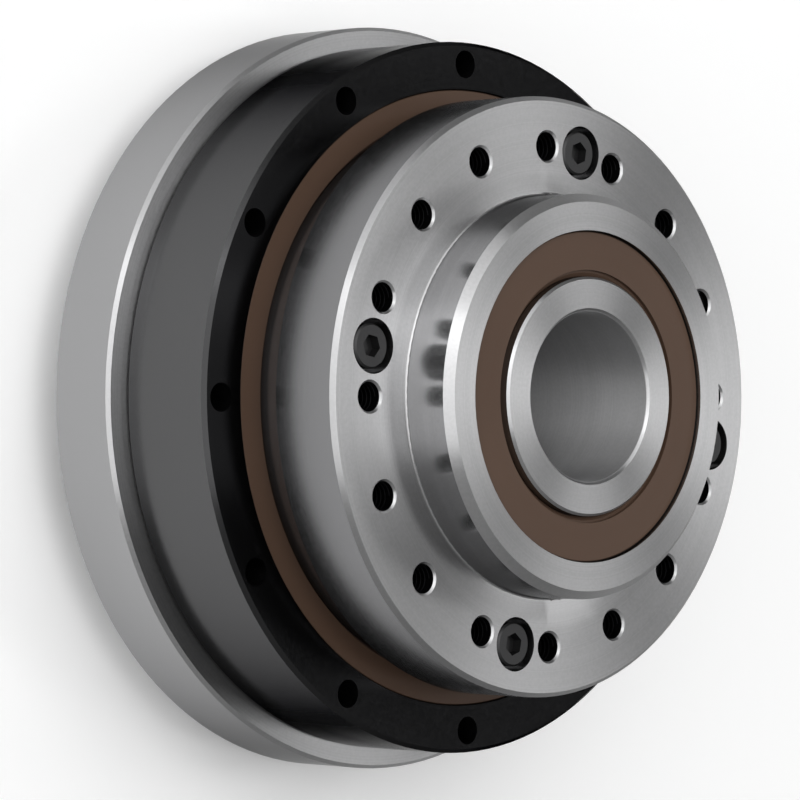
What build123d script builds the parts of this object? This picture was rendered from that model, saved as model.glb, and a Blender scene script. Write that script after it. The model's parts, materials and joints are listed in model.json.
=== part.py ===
from build123d import *
import os
from math import atan2, cos, degrees, pi, radians, sin, sqrt, tan

# Hollow-shaft strain wave gear unit, standing on its rear boss.
# The gear axis is Z, the output side is up, and the origin is the middle of the rear boss's face.
# Sizes are millimetres; a name that ends in D is a diameter.

# Heights of the casing, from the rear face up
REAR_BOSS_HEIGHT = 6.0
REAR_RING_HEIGHT = 10.0
OUTER_RING_WIDTH = 14.2
FLANGE_GAP = 4.15
FLANGE_THICKNESS = 10.0
FRONT_BOSS_HEIGHT = 7.15

# The circle of the crossed rollers: the rings outside it and the gears inside it follow its size
ROLLER_PITCH_D = 72.0

# How far the rings of the casing and output stand off that circle or off each other
MOUNT_HOLE_STEP = 6.0
MOUNT_HOLE_EDGE = 2.8
REAR_RING_STEP = 2.7
NECK_STEP = 1.2
MAIN_SEAL_STEP = 2.85
FLEX_RIM_STEP = 1.5
FLEX_RIM_EDGE = 0.6
FLANGE_STEP = 2.4
OUTPUT_HOLE_STEP = 3.8
PLUG_PIN_STEP = 5.2
SPLINE_WALL = 9.66

# Bosses at the two ends
REAR_BOSS_D = 50.0
FRONT_BOSS_D = 49.8

# Broken edges
REAR_RING_CHAMFER = 0.45
OUTER_RING_FRONT_CHAMFER = 0.5
OUTER_RING_REAR_CHAMFER = 0.7
FLANGE_CHAMFER = 0.55
BOSS_CHAMFER = 1.0
BOSS_FILLET = 0.4
SMALL_CHAMFER = 0.3

# Hollow shaft
SHAFT_BORE_D = 21.0
SHAFT_BORE_CHAMFER = 0.35
SEAL_LAND_STEP = 0.3
SHAFT_SHOULDER_STEP = 1.5
INPUT_HOLE_COUNT = 6
INPUT_HOLE_PCD = 25.2
INPUT_HOLE_D = 2.5
INPUT_HOLE_DEPTH = 6.0

# Deep-groove ball bearings that carry the shaft
BEARING_BORE_D = 30.0
BEARING_OUTSIDE_D = 42.0
BEARING_WIDTH = 7.0
BEARING_BALL_SHARE = 0.58
BEARING_BALL_SPACING = 2.0
BEARING_LAND_SHARE = 0.19
CAGE_SHARE = 0.5
SHOULDER_WEB = 2.0
SHOULDER_STEP = 3.5

# Oil seals round the shaft
SEAL_D = 40.8
SEAL_RECESS = 0.5
SEAL_WIDTH = 4.0
SEAL_WALL = 1.3
SEAL_EDGE = 0.25
SEAL_STEP = 0.5
SEAL_FACE_REACH = 0.8
SEAL_LIP_LAND = 0.8
SEAL_SPRING_D = 0.9

# Main seal between the outer ring and the neck of the output
MAIN_SEAL_WIDTH = 3.4
MAIN_SEAL_SINK = 0.15
MAIN_SEAL_FACE_REACH = 0.6

# Tooth mesh: a flexible external gear with two teeth fewer than the rigid internal gear
FLEX_TEETH = 100
TOOTH_DIFFERENCE = 2
ADDENDUM = 0.65
DEDENDUM = 0.85
FLANK_ANGLE = 20.0
FLANK_PLAY = 0.04
FLEX_WALL = 0.75
CUP_WALL = 0.6
DIAPHRAGM_THICKNESS = 0.7
CUP_CORNER = 1.5
CUP_LIP = 0.5
FLEX_RIM_THICKNESS = 2.4
DIAPHRAGM_ROOM = 0.4
SPLINE_BACKING = 0.65
FLANGE_ROOM = 1.0

# Flexible ball bearing of the wave generator
FLEX_BEARING_WIDTH = 7.6
FLEX_BALL_SHARE = 0.64
FLEX_BALL_SPACING = 1.45
FLEX_LAND_SHARE = 0.3
CAM_MEAN_D = 36.0
CAM_COLLAR = 1.0
CAM_COLLAR_STEP = 0.9

# Cross-roller bearing
ROLLER_D = 3.5
ROLLER_LENGTH = 3.4
ROLLER_COUNT = 48
RACE_GAP = 0.35
INNER_RING_WIDTH = 8.0
INNER_RING_LIFT = 1.2
SPACER_SIDE = 2.6
SPACER_THICKNESS = 0.9
LOADING_HOLE_D = 5.0
LOADING_HOLE_ANGLE = -15.0
PLUG_PIN_D = 1.5

# Holes and screws
MOUNT_HOLE_COUNT = 12
MOUNT_HOLE_D = 3.5
OUTPUT_HOLE_COUNT = 16
OUTPUT_HOLE_D = 3.6
OUTPUT_HOLE_DEPTH = 7.0
OUTPUT_HOLE_CHAMFER = 0.25
FLANGE_SCREW_COUNT = 4
FLANGE_SCREW_ANGLE = 78.75
FLANGE_SCREW_LENGTH = 20.0
HOUSING_SCREW_COUNT = 6
HOUSING_SCREW_ANGLE = 15.0
HOUSING_SCREW_LENGTH = 12.0
SCREW_D = 3.0
SCREW_HEAD_D = 5.5
SCREW_HEAD_HEIGHT = 3.0
SCREW_KEY = 2.5
SCREW_KEY_DEPTH = 1.3
SCREW_HEAD_CHAMFER = 0.25
COUNTERBORE_D = 6.7
COUNTERBORE_SPARE = 0.3
SCREW_CLEARANCE_D = 3.15
THREAD_SPARE = 0.5

# O-rings
O_RING_CORD = 1.0
O_RING_SQUEEZE = 0.15
O_RING_WALL = 0.8

# Clearances of the fits
RUNNING_FIT = 0.05
BALL_FIT = 0.03
ROLLER_FIT = 0.06
SEAT_FIT = 0.02
POCKET_FIT = 0.1
FLEX_FIT = 0.03
THREAD_FIT = 0.04

# Diameters that follow from the circle of the rollers
MOUNT_HOLE_PCD = ROLLER_PITCH_D + 2 * MOUNT_HOLE_STEP
OUTER_RING_D = MOUNT_HOLE_PCD + 2 * MOUNT_HOLE_EDGE
REAR_RING_D = OUTER_RING_D + 2 * REAR_RING_STEP
FLEX_RIM_D = OUTER_RING_D - 2 * FLEX_RIM_EDGE
NECK_D = ROLLER_PITCH_D - 2 * NECK_STEP
FLANGE_D = NECK_D + 2 * FLANGE_STEP
OUTPUT_HOLE_PCD = NECK_D - 2 * OUTPUT_HOLE_STEP
MAIN_SEAL_D = ROLLER_PITCH_D + 2 * MAIN_SEAL_STEP
FLEX_RIM_INNER_D = ROLLER_PITCH_D + 2 * FLEX_RIM_STEP
PLUG_PIN_RADIUS = ROLLER_PITCH_D / 2 + PLUG_PIN_STEP

# Diameters that follow from the bearings, seals and shaft
SHAFT_SEAL_D = BEARING_BORE_D - 2 * SEAL_LAND_STEP
SHAFT_SHOULDER_D = BEARING_BORE_D + 2 * SHAFT_SHOULDER_STEP
SHOULDER_BORE_D = BEARING_OUTSIDE_D - 2 * SHOULDER_STEP
CAM_COLLAR_D = CAM_MEAN_D + 2 * CAM_COLLAR_STEP
CASE_O_RING_D = FLEX_RIM_INNER_D + 2 * O_RING_WALL + O_RING_CORD

# Heights of the joints between pieces
Z_REAR_RING = REAR_BOSS_HEIGHT
Z_JOINT = Z_REAR_RING + REAR_RING_HEIGHT
Z_OUTER_FRONT = Z_JOINT + OUTER_RING_WIDTH
Z_FLANGE_BACK = Z_OUTER_FRONT + FLANGE_GAP
Z_FLANGE_FRONT = Z_FLANGE_BACK + FLANGE_THICKNESS
Z_FRONT = Z_FLANGE_FRONT + FRONT_BOSS_HEIGHT
SEAL_POCKET_DEPTH = SEAL_RECESS + SEAL_WIDTH
Z_REAR_BEARING = SEAL_POCKET_DEPTH + SHOULDER_WEB
Z_FRONT_BEARING = Z_FRONT - SEAL_POCKET_DEPTH - SHOULDER_WEB - BEARING_WIDTH
Z_RIM = Z_JOINT - FLEX_RIM_THICKNESS
Z_INNER_RING = Z_JOINT + INNER_RING_LIFT
Z_ROLLERS = Z_INNER_RING + INNER_RING_WIDTH / 2
Z_SPLINE = Z_INNER_RING + INNER_RING_WIDTH
Z_FLEX_BEARING = (Z_SPLINE + Z_FLANGE_BACK - FLEX_BEARING_WIDTH) / 2
Z_CUP_LIP = Z_FLANGE_BACK + CUP_LIP
Z_TOOTHED = Z_SPLINE - CUP_LIP
Z_MAIN_SEAL = Z_OUTER_FRONT - MAIN_SEAL_SINK

# Radii that follow from the tooth mesh; the wave is how far the long axis pushes the cup out
SPLINE_TEETH = FLEX_TEETH + TOOTH_DIFFERENCE
MODULE = (ROLLER_PITCH_D / 2 - SPLINE_WALL) / (SPLINE_TEETH / 2 + DEDENDUM)
WAVE = MODULE * TOOTH_DIFFERENCE / 2
FLEX_PITCH_R = MODULE * FLEX_TEETH / 2
SPLINE_PITCH_R = MODULE * SPLINE_TEETH / 2
FLEX_TIP_R = FLEX_PITCH_R + ADDENDUM * MODULE
FLEX_ROOT_R = FLEX_PITCH_R - DEDENDUM * MODULE
SPLINE_TIP_R = SPLINE_PITCH_R - ADDENDUM * MODULE
SPLINE_ROOT_R = SPLINE_PITCH_R + DEDENDUM * MODULE
FLEX_BORE_R = FLEX_ROOT_R - FLEX_WALL
CUP_OUTER_R = FLEX_BORE_R + CUP_WALL
FLEX_BEARING_R = FLEX_BORE_R - FLEX_FIT
CAM_R = CAM_MEAN_D / 2
FLEX_SECTION = FLEX_BEARING_R - CAM_R
FLEX_BALL_R = FLEX_SECTION * FLEX_BALL_SHARE / 2
FLEX_BALL_PITCH_R = (FLEX_BEARING_R + CAM_R) / 2
FLEX_BALL_COUNT = int(pi * FLEX_BALL_PITCH_R / (FLEX_BALL_R * FLEX_BALL_SPACING))
FLEX_RACE_LAND = FLEX_SECTION * FLEX_LAND_SHARE
BEARING_SECTION = (BEARING_OUTSIDE_D - BEARING_BORE_D) / 2
BALL_R = BEARING_SECTION * BEARING_BALL_SHARE / 2
BALL_PITCH_R = (BEARING_BORE_D + BEARING_SECTION) / 2
BEARING_BALL_COUNT = int(pi * BALL_PITCH_R / (BALL_R * BEARING_BALL_SPACING))
BEARING_LAND = BEARING_SECTION * BEARING_LAND_SHARE
PITCH_R = ROLLER_PITCH_D / 2
GROOVE = (ROLLER_D / 2 + ROLLER_FIT) * sqrt(2)
HUB_R = FLEX_BORE_R - 2 * WAVE
INNER_RING_BORE_R = SPLINE_ROOT_R + SPLINE_BACKING
FLANGE_O_RING_D = 2 * (INNER_RING_BORE_R + O_RING_WALL) + O_RING_CORD


def turned(profile, rounds=()):
    """Turn a closed outline of (radius, height) points about the gear axis, with some corners rounded."""
    outline = make_face(Polyline(profile, close=True))
    for corner, radius in rounds:
        outline = fillet(outline.vertices().sort_by_distance((*corner, 0))[0], radius)
    return revolve(Plane.XZ * outline, Axis.Z)


def ring(outer_r, inner_r, low, high):
    """A plain ring between two heights."""
    return turned([(inner_r, low), (outer_r, low), (outer_r, high), (inner_r, high)])


def bar(radius, low, high):
    """A round bar on the gear axis between two heights."""
    return Pos(0, 0, low) * extrude(Circle(radius), high - low)


def bead(middle_r, height, half_width, half_height):
    """A thin ring with an eight-sided section, for O-rings and springs."""
    flat = half_height / 2
    outline = []
    for r, z in ((half_width, flat), (flat, half_height)):
        outline += [(r, z), (r, -z), (-r, z), (-r, -z)]
    outline.sort(key=lambda point: atan2(point[1], point[0]))
    return turned([(middle_r + r, height + z) for r, z in outline])


def around(tool, count, radius, first=0.0):
    """Copies of a tool, made on the axis, on a bolt circle."""
    return [place * tool for place in PolarLocations(radius, count, first)]


def oval(mean_r, low, high):
    """A bar with the section that the wave generator gives to a circle."""
    return Pos(0, 0, low) * extrude(Ellipse(mean_r + WAVE, mean_r - WAVE), high - low)


def save(name, shape):
    """Write one piece, or one group of like pieces, to its own file."""
    solids = shape if isinstance(shape, list) else [shape]
    body = Compound(children=[s for item in solids for s in item.solids()])
    export_step(body, os.path.join("parts", name + ".step"))


def screw_holes(top, length, down=True):
    """Counterbored clearance hole and thread hole for a screw whose counterbore opens at a face."""
    sign = -1 if down else 1
    seat = top + sign * (SCREW_HEAD_HEIGHT + COUNTERBORE_SPARE)
    end = seat + sign * (length + THREAD_SPARE)
    head = bar(COUNTERBORE_D / 2, min(top, seat), max(top, seat))
    clear = bar(SCREW_CLEARANCE_D / 2, min(seat, end), max(seat, end))
    thread = bar(SCREW_D / 2, min(seat, end), max(seat, end))
    return head, clear, thread


def cap_screw(top, length, down=True):
    """Socket head cap screw, its head just under the face that its counterbore opens at."""
    head = Cylinder(SCREW_HEAD_D / 2, SCREW_HEAD_HEIGHT, align=(Align.CENTER, Align.CENTER, Align.MAX))
    head = chamfer(head.edges().group_by(Axis.Z)[-1], SCREW_HEAD_CHAMFER)
    key = RegularPolygon(SCREW_KEY / 2, 6, major_radius=False)
    head -= extrude(key, -SCREW_KEY_DEPTH)
    shank_r = SCREW_D / 2 - THREAD_FIT
    shank = bar(shank_r, -SCREW_HEAD_HEIGHT - length, -SCREW_HEAD_HEIGHT)
    shank = chamfer(shank.edges().group_by(Axis.Z)[0], SMALL_CHAMFER)
    screw = head + shank
    if not down:
        screw = Rot(180, 0, 0) * screw
    drop = -COUNTERBORE_SPARE if down else COUNTERBORE_SPARE
    return Pos(0, 0, top + drop) * screw


def ball_bearing(low):
    """Outer ring, inner ring, balls and crown cage of a deep-groove bearing that starts at a height."""
    high = low + BEARING_WIDTH
    middle = (low + high) / 2
    inner_r = BEARING_BORE_D / 2
    outer_r = BEARING_OUTSIDE_D / 2
    outer_land_r = BALL_PITCH_R + BEARING_LAND
    inner_land_r = BALL_PITCH_R - BEARING_LAND
    groove = Pos(0, 0, middle) * Torus(BALL_PITCH_R, BALL_R + BALL_FIT)
    c = SMALL_CHAMFER
    outer = turned([
        (outer_land_r, low), (outer_r - c, low), (outer_r, low + c),
        (outer_r, high - c), (outer_r - c, high), (outer_land_r, high),
    ]) - groove
    inner = turned([
        (inner_r + c, low), (inner_land_r, low), (inner_land_r, high),
        (inner_r + c, high), (inner_r, high - c), (inner_r, low + c),
    ]) - groove
    ball = Pos(0, 0, middle) * Sphere(BALL_R)
    balls = around(ball, BEARING_BALL_COUNT, BALL_PITCH_R)
    half_cage = BEARING_LAND * CAGE_SHARE
    cage = ring(
        BALL_PITCH_R + half_cage, BALL_PITCH_R - half_cage,
        low + SMALL_CHAMFER, middle + BALL_R * CAGE_SHARE,
    )
    pocket = Pos(0, 0, middle) * Rot(0, 90, 0) * Cylinder(BALL_R + POCKET_FIT, 2 * BEARING_LAND)
    cage -= around(pocket, BEARING_BALL_COUNT, BALL_PITCH_R)
    return outer, inner, balls, cage


def lip_seal(outer_d, shaft_d, face, width, face_reach, inward):
    """Rubber seal: a sleeve in its pocket, a flat face, and a lip that runs on the shaft."""
    outer_r = outer_d / 2
    lip_r = shaft_d / 2 + RUNNING_FIT
    face_r = lip_r + face_reach
    heel_r = lip_r + SEAL_WALL
    spring_r = heel_r + SEAL_WALL / 2
    outline = [
        (outer_r, SEAL_EDGE), (outer_r - SEAL_EDGE, 0), (face_r, 0), (face_r, SEAL_STEP),
        (lip_r + SEAL_STEP, SEAL_STEP), (lip_r, SEAL_STEP + SEAL_LIP_LAND / 2),
        (lip_r, SEAL_STEP + SEAL_LIP_LAND), (lip_r + SEAL_STEP, SEAL_WALL),
        (heel_r, SEAL_WALL), (heel_r - SEAL_WALL / 2, width - SEAL_WALL),
        (lip_r, width - SEAL_WALL / 2), (lip_r + SEAL_LIP_LAND / 2, width),
        (spring_r, width), (spring_r, SEAL_WALL),
        (outer_r - SEAL_WALL, SEAL_WALL), (outer_r - SEAL_WALL, width), (outer_r, width),
    ]
    return turned([(r, face + inward * depth) for r, depth in outline])


def seal_spring(face, inward, spare=0.0):
    """Garter spring in the back of a shaft seal's lip, or the groove that it lies in."""
    radius = SHAFT_SEAL_D / 2 + RUNNING_FIT + SEAL_WALL * 3 / 2 + SEAL_SPRING_D / 4
    height = face + inward * (SEAL_WIDTH - SEAL_WALL)
    half = SEAL_SPRING_D / 2 + spare
    return bead(radius, height, half, half)


def shaft_seal(face, inward):
    """Seal round the hollow shaft, with the groove for its spring."""
    seal = lip_seal(SEAL_D, SHAFT_SEAL_D, face, SEAL_WIDTH, SEAL_FACE_REACH, inward)
    return seal - seal_spring(face, inward, SEAT_FIT)


def rear_housing():
    """Steel rear case: mounting ring, rear boss, and the seats of the rear bearing and seal."""
    c = REAR_RING_CHAMFER
    boss_r = REAR_BOSS_D / 2
    ring_r = REAR_RING_D / 2
    pocket_r = FLEX_RIM_D / 2 + RUNNING_FIT
    seat_r = BEARING_OUTSIDE_D / 2
    floor = Z_RIM - DIAPHRAGM_ROOM
    case = turned([
        (SEAL_D / 2, 0), (boss_r - c, 0), (boss_r, c), (boss_r, Z_REAR_RING),
        (ring_r - c, Z_REAR_RING), (ring_r, Z_REAR_RING + c),
        (ring_r, Z_JOINT - c), (ring_r - c, Z_JOINT), (pocket_r, Z_JOINT),
        (pocket_r, Z_RIM), (FLEX_RIM_INNER_D / 2, Z_RIM), (FLEX_RIM_INNER_D / 2, floor),
        (HUB_R, floor), (HUB_R, Z_RIM), (seat_r, Z_RIM), (seat_r, Z_REAR_BEARING),
        (SHOULDER_BORE_D / 2, Z_REAR_BEARING), (SHOULDER_BORE_D / 2, SEAL_POCKET_DEPTH),
        (SEAL_D / 2, SEAL_POCKET_DEPTH),
    ])
    groove_depth = O_RING_CORD - O_RING_SQUEEZE
    case -= ring(
        (CASE_O_RING_D + O_RING_CORD) / 2, (CASE_O_RING_D - O_RING_CORD) / 2,
        Z_RIM - groove_depth, Z_RIM,
    )
    case -= around(bar(MOUNT_HOLE_D / 2, Z_REAR_RING, Z_JOINT), MOUNT_HOLE_COUNT, MOUNT_HOLE_PCD / 2)
    head, clear, _ = screw_holes(Z_REAR_RING, HOUSING_SCREW_LENGTH, down=False)
    case -= around(head + clear, HOUSING_SCREW_COUNT, MOUNT_HOLE_PCD / 2, HOUSING_SCREW_ANGLE)
    return case


def outer_ring_blank():
    """Outer ring of the cross-roller bearing before its holes, with a V-shaped track."""
    front = OUTER_RING_FRONT_CHAMFER
    rear = OUTER_RING_REAR_CHAMFER
    outer_r = OUTER_RING_D / 2
    bore_r = PITCH_R + RACE_GAP
    mouth = GROOVE - RACE_GAP
    seal_floor = Z_MAIN_SEAL - MAIN_SEAL_WIDTH
    return turned([
        (bore_r, Z_JOINT), (outer_r - rear, Z_JOINT), (outer_r, Z_JOINT + rear),
        (outer_r, Z_OUTER_FRONT - front), (outer_r - front, Z_OUTER_FRONT),
        (MAIN_SEAL_D / 2, Z_OUTER_FRONT), (MAIN_SEAL_D / 2, seal_floor), (bore_r, seal_floor),
        (bore_r, Z_ROLLERS + mouth), (PITCH_R + GROOVE, Z_ROLLERS), (bore_r, Z_ROLLERS - mouth),
    ])


def radial_bar(radius):
    """A bar that points outward from the track, for the hole through which rollers are loaded."""
    return Rot(0, 0, LOADING_HOLE_ANGLE) * Pos(PITCH_R, 0, Z_ROLLERS) * Rot(0, 90, 0) * Cylinder(
        radius, OUTER_RING_D / 2, align=(Align.CENTER, Align.CENTER, Align.MIN)
    )


def plug_pin():
    """Pin that locks the loading plug, driven in from the rear face."""
    place = Rot(0, 0, LOADING_HOLE_ANGLE) * Pos(PLUG_PIN_RADIUS, 0, 0)
    return place * bar(PLUG_PIN_D / 2, Z_JOINT, Z_ROLLERS + LOADING_HOLE_D / 4)


def bearing_outer_ring():
    """Outer ring with mounting holes, threads for the case screws, O-ring groove and loading hole."""
    outer = outer_ring_blank() - radial_bar(LOADING_HOLE_D / 2) - plug_pin()
    outer -= around(bar(MOUNT_HOLE_D / 2, Z_JOINT, Z_OUTER_FRONT), MOUNT_HOLE_COUNT, MOUNT_HOLE_PCD / 2)
    _, _, thread = screw_holes(Z_REAR_RING, HOUSING_SCREW_LENGTH, down=False)
    outer -= around(thread, HOUSING_SCREW_COUNT, MOUNT_HOLE_PCD / 2, HOUSING_SCREW_ANGLE)
    groove_depth = O_RING_CORD - O_RING_SQUEEZE
    outer -= ring(
        (CASE_O_RING_D + O_RING_CORD) / 2, (CASE_O_RING_D - O_RING_CORD) / 2,
        Z_JOINT, Z_JOINT + groove_depth,
    )
    return outer


def loading_plug():
    """Plug that closes the loading hole and completes the track and the outside of the ring."""
    return (outer_ring_blank() & radial_bar(LOADING_HOLE_D / 2 - SEAT_FIT)) - plug_pin()


def bearing_inner_ring():
    """Inner ring of the cross-roller bearing, with threads for the output screws."""
    c = SMALL_CHAMFER
    outer_r = PITCH_R - RACE_GAP
    bore_r = INNER_RING_BORE_R
    mouth = GROOVE - RACE_GAP
    inner = turned([
        (bore_r + c, Z_INNER_RING), (outer_r - c, Z_INNER_RING), (outer_r, Z_INNER_RING + c),
        (outer_r, Z_ROLLERS - mouth), (PITCH_R - GROOVE, Z_ROLLERS), (outer_r, Z_ROLLERS + mouth),
        (outer_r, Z_SPLINE - c), (outer_r - c, Z_SPLINE), (bore_r, Z_SPLINE), (bore_r, Z_INNER_RING + c),
    ])
    _, _, thread = screw_holes(Z_FLANGE_FRONT, FLANGE_SCREW_LENGTH)
    inner -= around(thread, FLANGE_SCREW_COUNT, OUTPUT_HOLE_PCD / 2, FLANGE_SCREW_ANGLE)
    return inner


def rollers():
    """Rollers in the square track, each turned a right angle from its neighbours."""
    roller = Cylinder(ROLLER_D / 2, ROLLER_LENGTH)
    step = 360 / ROLLER_COUNT
    pieces = []
    for i in range(ROLLER_COUNT):
        lean = 45 if i % 2 else -45
        place = Rot(0, 0, i * step) * Pos(PITCH_R, 0, Z_ROLLERS) * Rot(0, lean, 0)
        pieces.append(place * roller)
    return pieces


def roller_spacers():
    """Small square blocks that keep neighbouring rollers apart."""
    block = Rot(0, 45, 0) * Box(SPACER_SIDE, SPACER_THICKNESS, SPACER_SIDE)
    step = 360 / ROLLER_COUNT
    return around(Pos(0, 0, Z_ROLLERS) * block, ROLLER_COUNT, PITCH_R, step / 2)


def spline_teeth_outline():
    """Closed outline of the internal teeth, one straight-sided space at a time."""
    pitch = 2 * pi * SPLINE_PITCH_R / SPLINE_TEETH
    slope = tan(radians(FLANK_ANGLE))
    half_space = pitch / 4 + FLANK_PLAY / 2
    at_tip = half_space + (SPLINE_PITCH_R - SPLINE_TIP_R) * slope
    at_root = half_space - (SPLINE_ROOT_R - SPLINE_PITCH_R) * slope
    points = []
    for i in range(SPLINE_TEETH):
        middle = 2 * pi * i / SPLINE_TEETH
        corners = [
            (-at_tip, SPLINE_TIP_R), (-at_root, SPLINE_ROOT_R),
            (at_root, SPLINE_ROOT_R), (at_tip, SPLINE_TIP_R),
        ]
        for side, radius in corners:
            turn = middle + side / radius
            points.append((radius * cos(turn), radius * sin(turn)))
    return Polyline(points, close=True)


def circular_spline():
    """Rigid internal gear; its outside is the neck that the main seal runs on."""
    neck_r = NECK_D / 2
    blank = bar(neck_r, Z_SPLINE, Z_FLANGE_BACK)
    gear = blank - Pos(0, 0, Z_SPLINE) * extrude(make_face(spline_teeth_outline()), Z_FLANGE_BACK - Z_SPLINE)
    _, clear, _ = screw_holes(Z_FLANGE_FRONT, FLANGE_SCREW_LENGTH)
    return gear - around(clear, FLANGE_SCREW_COUNT, OUTPUT_HOLE_PCD / 2, FLANGE_SCREW_ANGLE)


def flexed(turn, radius, side):
    """Where a point of the round cup goes when the wave generator bends it without stretching its wall.

    The wall's middle moves out by the wave, slides round by half of it, and leans by one and a half."""
    neutral_r = FLEX_BORE_R + FLEX_WALL / 2
    slide = WAVE / 2 / neutral_r * sin(2 * turn)
    middle = turn - slide
    lean = turn + 3 * slide
    reach = neutral_r + WAVE * cos(2 * turn)
    x = reach * cos(middle) + (radius - neutral_r) * cos(lean) - side * sin(lean)
    y = reach * sin(middle) + (radius - neutral_r) * sin(lean) + side * cos(lean)
    return x, y


def flex_teeth_outline():
    """Closed outline of the external teeth as the oval wave generator holds them."""
    pitch = 2 * pi * FLEX_PITCH_R / FLEX_TEETH
    slope = tan(radians(FLANK_ANGLE))
    half_tooth = pitch / 4 - FLANK_PLAY / 2
    at_tip = half_tooth - (FLEX_TIP_R - FLEX_PITCH_R) * slope
    at_root = half_tooth + (FLEX_PITCH_R - FLEX_ROOT_R) * slope
    points = []
    for i in range(FLEX_TEETH):
        turn = 2 * pi * i / FLEX_TEETH
        corners = [
            (-at_root, FLEX_ROOT_R), (-at_tip, FLEX_TIP_R), (at_tip, FLEX_TIP_R), (at_root, FLEX_ROOT_R),
        ]
        points += [flexed(turn, radius, side) for side, radius in corners]
    return Polyline(points, close=True)


def flexspline():
    """Thin toothed cup, oval at its toothed end and round at its diaphragm, with a clamped rim."""
    toothed = Pos(0, 0, Z_TOOTHED) * extrude(make_face(flex_teeth_outline()), Z_CUP_LIP - Z_TOOTHED)
    toothed -= oval(FLEX_BORE_R, Z_TOOTHED, Z_CUP_LIP)
    low = Z_RIM + DIAPHRAGM_ROOM
    high = low + DIAPHRAGM_THICKNESS
    rim_r = FLEX_RIM_INNER_D / 2
    outer_r = FLEX_RIM_D / 2
    base = turned([
        (FLEX_BORE_R, Z_INNER_RING), (FLEX_BORE_R, low), (rim_r, low), (rim_r, Z_RIM),
        (outer_r, Z_RIM), (outer_r, Z_JOINT), (rim_r, Z_JOINT), (rim_r, high),
        (CUP_OUTER_R, high), (CUP_OUTER_R, Z_INNER_RING),
    ], rounds=[((CUP_OUTER_R, high), CUP_CORNER), ((FLEX_BORE_R, low), CUP_CORNER + CUP_WALL)])
    skin = [
        loft([Pos(0, 0, Z_INNER_RING) * Circle(r), Pos(0, 0, Z_TOOTHED) * Ellipse(r + WAVE, r - WAVE)])
        for r in (CUP_OUTER_R, FLEX_BORE_R)
    ]
    cup = base + (skin[0] - skin[1]) + toothed
    cup -= around(bar(MOUNT_HOLE_D / 2, Z_RIM, Z_JOINT), MOUNT_HOLE_COUNT, MOUNT_HOLE_PCD / 2)
    _, clear, _ = screw_holes(Z_REAR_RING, HOUSING_SCREW_LENGTH, down=False)
    cup -= around(clear, HOUSING_SCREW_COUNT, MOUNT_HOLE_PCD / 2, HOUSING_SCREW_ANGLE)
    return cup


def flex_bearing():
    """Inner race, outer race, balls and cage of the thin bearing that the cam bends oval."""
    low = Z_FLEX_BEARING
    high = low + FLEX_BEARING_WIDTH
    middle = (low + high) / 2
    inner_land_r = CAM_R + FLEX_RACE_LAND
    outer_land_r = FLEX_BEARING_R - FLEX_RACE_LAND
    path = Pos(0, 0, middle) * Edge.make_ellipse(FLEX_BALL_PITCH_R + WAVE, FLEX_BALL_PITCH_R - WAVE)
    section = Plane(origin=path @ 0, x_dir=(0, 0, 1), z_dir=path % 0)
    groove = sweep(section * Circle(FLEX_BALL_R + BALL_FIT), path=path)
    inner = oval(inner_land_r, low, high) - oval(CAM_R, low, high) - groove
    outer = oval(FLEX_BEARING_R, low, high) - oval(outer_land_r, low, high) - groove
    spots = [path @ (i / FLEX_BALL_COUNT) for i in range(FLEX_BALL_COUNT)]
    balls = [Pos(*spot) * Sphere(FLEX_BALL_R) for spot in spots]
    half_cage = (outer_land_r - inner_land_r) / 2 * CAGE_SHARE
    cage_low = low + SMALL_CHAMFER
    cage_high = middle + FLEX_BALL_R * CAGE_SHARE
    cage = oval(FLEX_BALL_PITCH_R + half_cage, cage_low, cage_high)
    cage -= oval(FLEX_BALL_PITCH_R - half_cage, cage_low, cage_high)
    pocket = Rot(0, 90, 0) * Cylinder(FLEX_BALL_R + POCKET_FIT, FLEX_SECTION)
    cage -= [Pos(*spot) * Rot(0, 0, degrees(atan2(spot.Y, spot.X))) * pocket for spot in spots]
    return inner, outer, balls, cage


def hollow_shaft():
    """Hollow input shaft with its bearing journals, seal lands and the oval cam of the wave generator."""
    c = SMALL_CHAMFER
    bore_r = SHAFT_BORE_D / 2
    flare_r = bore_r + SHAFT_BORE_CHAMFER
    seal_r = SHAFT_SEAL_D / 2
    journal_r = BEARING_BORE_D / 2
    shoulder_r = SHAFT_SHOULDER_D / 2
    rear_shoulder = Z_REAR_BEARING + BEARING_WIDTH
    front_journal = Z_FRONT_BEARING + BEARING_WIDTH
    shaft = turned([
        (0, 0), (seal_r - c, 0), (seal_r, c), (seal_r, Z_REAR_BEARING),
        (journal_r, Z_REAR_BEARING), (journal_r, rear_shoulder), (shoulder_r, rear_shoulder),
        (shoulder_r, Z_FRONT_BEARING), (journal_r, Z_FRONT_BEARING), (journal_r, front_journal),
        (seal_r, front_journal), (seal_r, Z_FRONT - c), (seal_r - c, Z_FRONT), (0, Z_FRONT),
    ])
    shaft += bar(CAM_COLLAR_D / 2, Z_FLEX_BEARING - CAM_COLLAR, Z_FLEX_BEARING)
    shaft += oval(CAM_R, Z_FLEX_BEARING, Z_FLEX_BEARING + FLEX_BEARING_WIDTH)
    shaft -= turned([
        (0, 0), (flare_r, 0), (bore_r, SHAFT_BORE_CHAMFER),
        (bore_r, Z_FRONT - SHAFT_BORE_CHAMFER), (flare_r, Z_FRONT), (0, Z_FRONT),
    ])
    hole = bar(INPUT_HOLE_D / 2, 0, INPUT_HOLE_DEPTH)
    return shaft - around(hole, INPUT_HOLE_COUNT, INPUT_HOLE_PCD / 2)


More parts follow.
